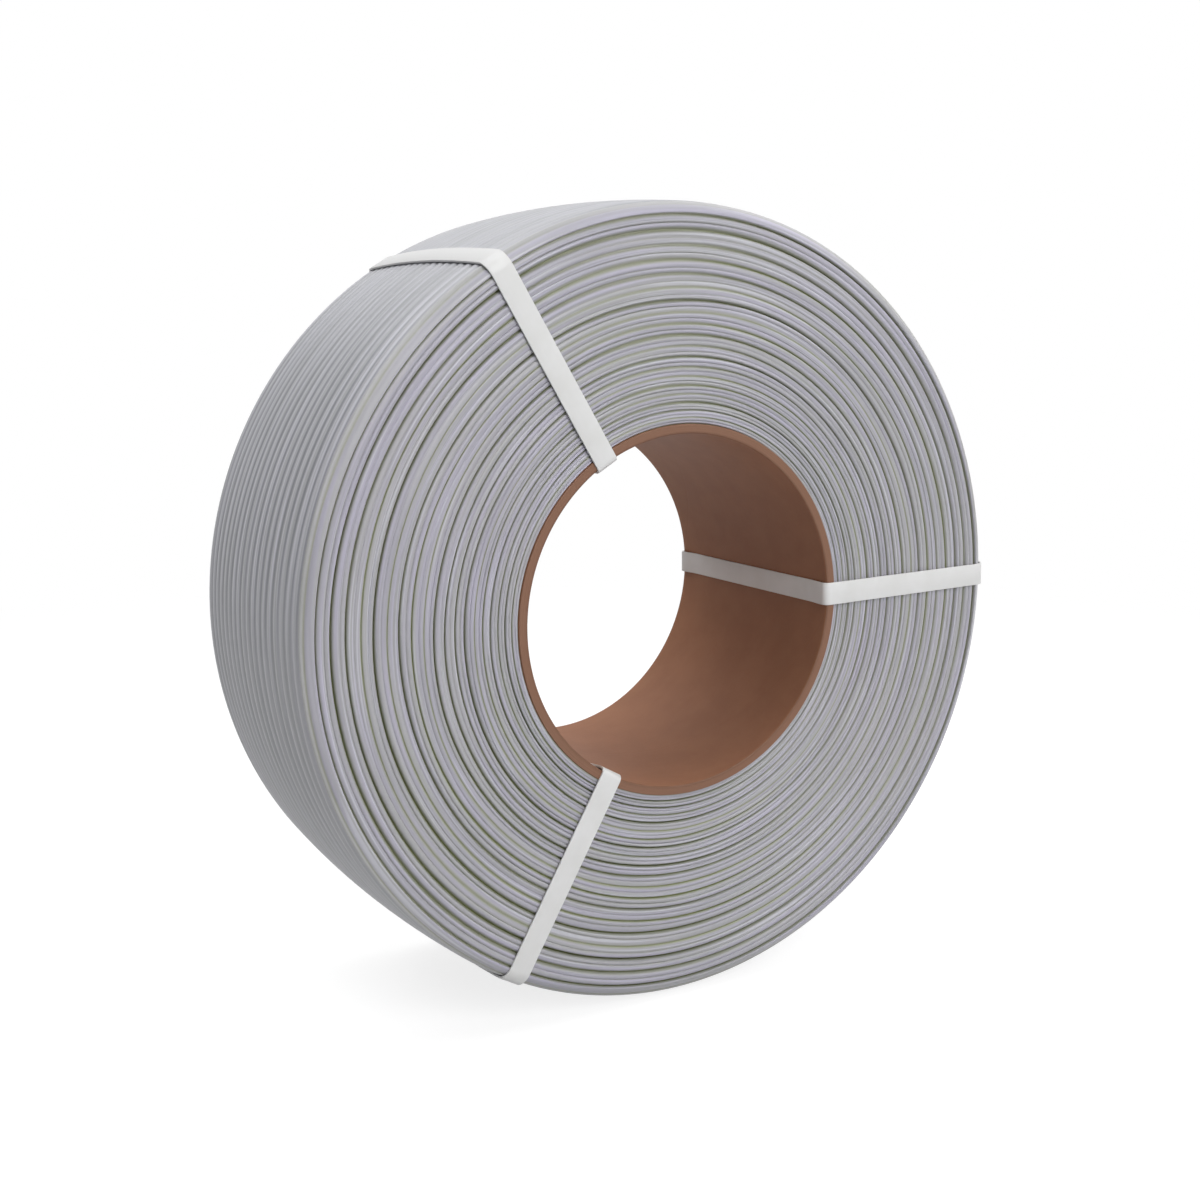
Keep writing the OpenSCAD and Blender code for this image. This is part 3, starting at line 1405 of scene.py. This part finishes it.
@dataclass
class Straps:
    """The three straps, of which one is modelled and the others are its copies."""

    angles: Mapping[str, float]
    dish: Dish
    route: StrapRoute = field(default_factory=StrapRoute)
    lap: Lap = field(default_factory=Lap)
    width: float = 5 * MM
    thick: float = 0.45 * MM
    bevel: float = 0.07 * MM
    bevel_from: float = math.radians(60)
    sharp: float = math.radians(35)
    bend_steps: int = 10
    bore_steps: int = 24
    crown_steps: int = 24

    def pull(self, shift: tuple[float, float]) -> None:
        """Extrude the strap's end straight on by a shift in radius and height."""
        bpy.ops.mesh.extrude_region_move(TRANSFORM_OT_translate={"value": (*shift, 0)})

    def turn(self, centre: tuple[float, float]) -> None:
        """Carry the strap's end a quarter turn round a centre, against the clock."""
        bpy.ops.mesh.spin(
            steps=self.bend_steps, angle=-math.pi / 2, center=(*centre, 0), axis=(0, 0, 1)
        )

    def band(self) -> Bench:
        """Carry a strap's section once round its route, at angle 0.

        Returns:
            The bench that holds the closed band.
        """
        route = self.route
        inner, top = route.bore_r + route.bend, route.face_y - route.bend
        front = (route.front_rim - route.front_bend, route.front_bend - route.face_y)
        back = (route.back_rim - route.back_bend, route.face_y - route.back_bend)
        bpy.ops.object.select_all(action="DESELECT")
        bpy.ops.mesh.primitive_plane_add(
            size=1, location=(route.bore_r - self.thick / 2, 0, 0), rotation=(math.pi / 2, 0, 0)
        )
        bench = Bench("strap", (self.thick, self.width, 1))
        with bench.editing():
            bpy.ops.mesh.select_all(action="SELECT")
            for _ in range(self.bore_steps):
                self.pull((0, -top / self.bore_steps))
            self.turn((inner, -top))
            self.pull((front[0] - inner, 0))
            self.turn(front)
            radius, height = route.front_rim, front[1]
            for i in range(1, self.crown_steps + 1):
                ahead = front[1] + (back[1] - front[1]) * i / self.crown_steps
                out = route.crown_r(ahead) if i < self.crown_steps else route.back_rim
                self.pull((out - radius, ahead - height))
                radius, height = out, ahead
            self.turn(back)
            self.pull((inner - back[0], 0))
            self.turn((inner, top))
            for _ in range(self.bore_steps):
                self.pull((0, -top / self.bore_steps))
            bench.pick(lambda vertex: abs(vertex.co.y) < TINY and vertex.co.x < inner)
            bpy.ops.mesh.delete(type="ONLY_FACE")
            bench.close()
        return bench

    def soften(self, bench: Bench, width: float) -> None:
        """Bevel the long edges of a piece.

        Args:
            bench: The bench that holds it.
            width: The bevel's width.
        """
        bevel = bench.piece.modifiers.new("edges", "BEVEL")
        bevel.width = width
        bevel.segments = 2
        bevel.limit_method = "ANGLE"
        bevel.angle_limit = self.bevel_from
        bpy.context.view_layer.objects.active = bench.piece
        bpy.ops.object.modifier_apply(modifier=bevel.name)

    def weld(self) -> Bench:
        """Lay the lap's upper end, with the ribs that the welding jaws pressed into it.

        Returns:
            The bench that holds it.
        """
        lap = self.lap
        sunk = self.thick / 2
        bpy.ops.object.select_all(action="DESELECT")
        bpy.ops.mesh.primitive_grid_add(
            x_subdivisions=lap.columns,
            y_subdivisions=lap.rows,
            size=1,
            location=(lap.middle, self.route.face_y + self.thick - sunk, 0),
            rotation=(math.pi / 2, 0, 0),
        )
        bench = Bench("lap", (lap.length, self.width, 1))
        with bench.editing():
            bpy.ops.mesh.select_all(action="SELECT")
            self.pull((0, self.thick + sunk))
            bench.close()
        self.soften(bench, lap.bevel)
        with bench.editing():
            bpy.ops.mesh.select_mode(type="FACE")
            for face in bmesh.from_edit_mesh(bench.piece.data).faces:
                face.select = lap.welded(face)
            bmesh.update_edit_mesh(bench.piece.data)
            bpy.ops.mesh.inset(thickness=lap.weld_slope, depth=-lap.weld_depth)
        return bench

    def build(self, finish: StrapFinish) -> None:
        """Model the straps and hand them in.

        Args:
            finish: The strapping's finish.
        """
        band = self.band()
        self.soften(band, self.bevel)
        lap = self.weld()
        bpy.ops.object.select_all(action="DESELECT")
        lap.piece.select_set(True)
        band.piece.select_set(True)
        bpy.context.view_layer.objects.active = band.piece
        bpy.ops.object.join()
        for vertex in band.piece.data.vertices:
            radius, height = vertex.co.x, vertex.co.y
            vertex.co.x -= self.route.proud(radius, height)
            vertex.co.y = self.dish.strap(radius, height)
        band.smooth(self.sharp)
        for name, angle in self.angles.items():
            piece = band.piece.copy()
            piece.data = band.piece.data.copy()
            piece.name = piece.data.name = name + "_band"
            piece.data.transform(Matrix.Rotation(-angle, 4, "Y"))
            bpy.context.scene.collection.objects.link(piece)
            hand_in(piece, name, Slot.STRAP, finish.material(angle))
        bpy.data.objects.remove(band.piece)


@dataclass
class Core:
    """The paper core, a tube of a few plies.

    A row of points near each end of the bore keeps the rounded edge's shading there.
    """

    bore_r: float
    outer_r: float
    half_width: float
    edge_r: float = 0.35 * MM
    outer_edge_r: float = 0.15 * MM
    edge_steps: int = 6
    row: float = 0.35 * MM
    plies: int = 3
    ply_points: int = 4
    ply_low: float = 0.03 * MM
    steps: int = 360
    sharp: float = math.radians(50)

    def bore_outline(self) -> list[Vector]:
        """The bore's outline between its rounded edges.

        Returns:
            Its points, from the front to the back.
        """
        top = self.half_width - self.edge_r
        heights = (-top, self.row - top, top - self.row, top)
        return [Vector((self.bore_r, height, 0)) for height in heights]

    def ring_outline(self, side: Side) -> list[Vector]:
        """The end ring's outline, with a fine line between one ply and the next.

        Args:
            side: The face.

        Returns:
            Its points, from the inside to the outside.
        """
        start, end = self.bore_r + self.edge_r, self.outer_r - self.outer_edge_r
        count = self.plies * self.ply_points
        made = []
        for i in range(count + 1):
            low = self.ply_low if i % self.ply_points == 0 and 0 < i < count else 0.0
            radius = start + (end - start) * i / count
            made.append(Vector((radius, side.value * (self.half_width - low), 0)))
        return made

    def build(self, finish: bpy.types.Material) -> None:
        """Model the core and hand it in.

        Args:
            finish: The paper's material.
        """
        top = self.half_width
        bench = Bench.section("core_tube_paper", (self.bore_r, -top), (self.outer_r, top))
        with bench.editing():
            for radius, offset in ((self.bore_r, self.edge_r), (self.outer_r, self.outer_edge_r)):
                bench.pick(lambda vertex, radius=radius: abs(vertex.co.x - radius) < TINY)
                bpy.ops.mesh.bevel(offset=offset, segments=self.edge_steps, affect="VERTICES")
            bench.open_section()
            for outline in (*map(self.ring_outline, Side), self.bore_outline()):
                bench.trace(outline[0], outline[-1], outline)
            bench.spin(self.steps)
        bench.smooth(self.sharp)
        hand_in(bench.piece, "core_tube", Slot.CARDBOARD, finish)


@dataclass(frozen=True)
class Lamp:
    """A square softbox that faces the coil, and may be kept out of its gloss."""

    name: str
    place: tuple[float, float, float]
    power: float
    size: float = 1.0
    gleams: bool = True

    def hang(self) -> None:
        """Hang the lamp at its place."""
        light = bpy.data.lights.new(self.name, "AREA")
        light.shape = "SQUARE"
        light.size = self.size
        light.energy = self.power
        lamp = bpy.data.objects.new(self.name, light)
        lamp.visible_camera = False
        lamp.visible_glossy = self.gleams
        lamp.location = self.place
        lamp.rotation_euler = (-Vector(self.place)).to_track_quat("-Z", "Y").to_euler()
        bpy.context.scene.collection.objects.link(lamp)


@dataclass
class Studio:
    """Floor, lamps, sky and camera."""

    floor_z: float
    floor_size: float = 40.0
    lamps: tuple[Lamp, ...] = (
        Lamp("front", (0, -1.3, 0.8), 18.2),
        Lamp("top", (-0.5, 0.3, 1.3), 11.4),
        Lamp("top_right", (0.9, -0.2, 1.1), 8.4),
        Lamp("top_back", (0, 0.9, 1.1), 2.0),
        Lamp("left", (-1.5, 0, 0.3), 1.0),
        Lamp("back_right", (0.9, 1.3, 0.2), 12.0, size=0.8, gleams=False),
    )
    camera_at: tuple = (-0.19265, -0.32142, 0.06402)
    camera_to: tuple = (-0.0040, 0.0, -0.0014)
    lens: float = 50.0
    sensor: float = 36.0
    nearest: float = 0.01

    def floor(self) -> None:
        """Lay the floor under the coil."""
        bpy.ops.object.select_all(action="DESELECT")
        bpy.ops.mesh.primitive_plane_add(size=self.floor_size, location=(0, 0, self.floor_z))
        floor = bpy.context.object
        floor.name = "floor"
        bpy.ops.object.transform_apply(location=True, rotation=True, scale=True)
        floor.data.materials.append(StageFinish().material())
        floor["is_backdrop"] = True

    def sky(self) -> None:
        """Make a sky that lights nothing and is white where it is seen."""
        world = bpy.data.worlds.new("sky")
        bpy.context.scene.world = world
        graph = Graph(world)
        back = graph.node("Background", inputs={"Color": WHITE, "Strength": graph.seen_share()})
        graph.node("OutputWorld", inputs={"Surface": back})

    def camera(self) -> None:
        """Set the camera."""
        data = bpy.data.cameras.new("camera")
        data.lens = self.lens
        data.sensor_width = self.sensor
        data.clip_start = self.nearest
        camera = bpy.data.objects.new("camera", data)
        camera.location = self.camera_at
        way = Vector(self.camera_to) - Vector(self.camera_at)
        camera.rotation_euler = way.to_track_quat("-Z", "Y").to_euler()
        bpy.context.scene.collection.objects.link(camera)
        bpy.context.scene.camera = camera

    def build(self) -> None:
        """Set up the whole stage."""
        self.floor()
        for lamp in self.lamps:
            lamp.hang()
        self.sky()
        self.camera()
        bpy.context.scene.view_settings.view_transform = "Standard"


def main() -> None:
    """Build the coil's pieces round the frame, then the stage."""
    logging.basicConfig(level=logging.INFO, format="%(message)s")
    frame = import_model()
    cad_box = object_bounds()
    core_low, core_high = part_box("core_tube")
    layers = sorted(name for name in frame["nodes"] if name.startswith("filament_layer_"))
    angles = {name: FIRST_STRAP + math.tau * i / len(STRAPS) for i, name in enumerate(STRAPS)}
    bore_r = frame["record"]["mounts"][0]["dims"]["r_mm"] * MM
    dish = Dish(core_high.x, core_high.y, RIM_R)
    Coil(layers, dish).build(StrandFinish().material())
    Core(bore_r, core_high.x, core_high.y).build(PaperFinish().material())
    Straps(angles, dish).build(StrapFinish())
    Studio(floor_z=cad_box[0].z).build()


if __name__ == "__main__":
    main()
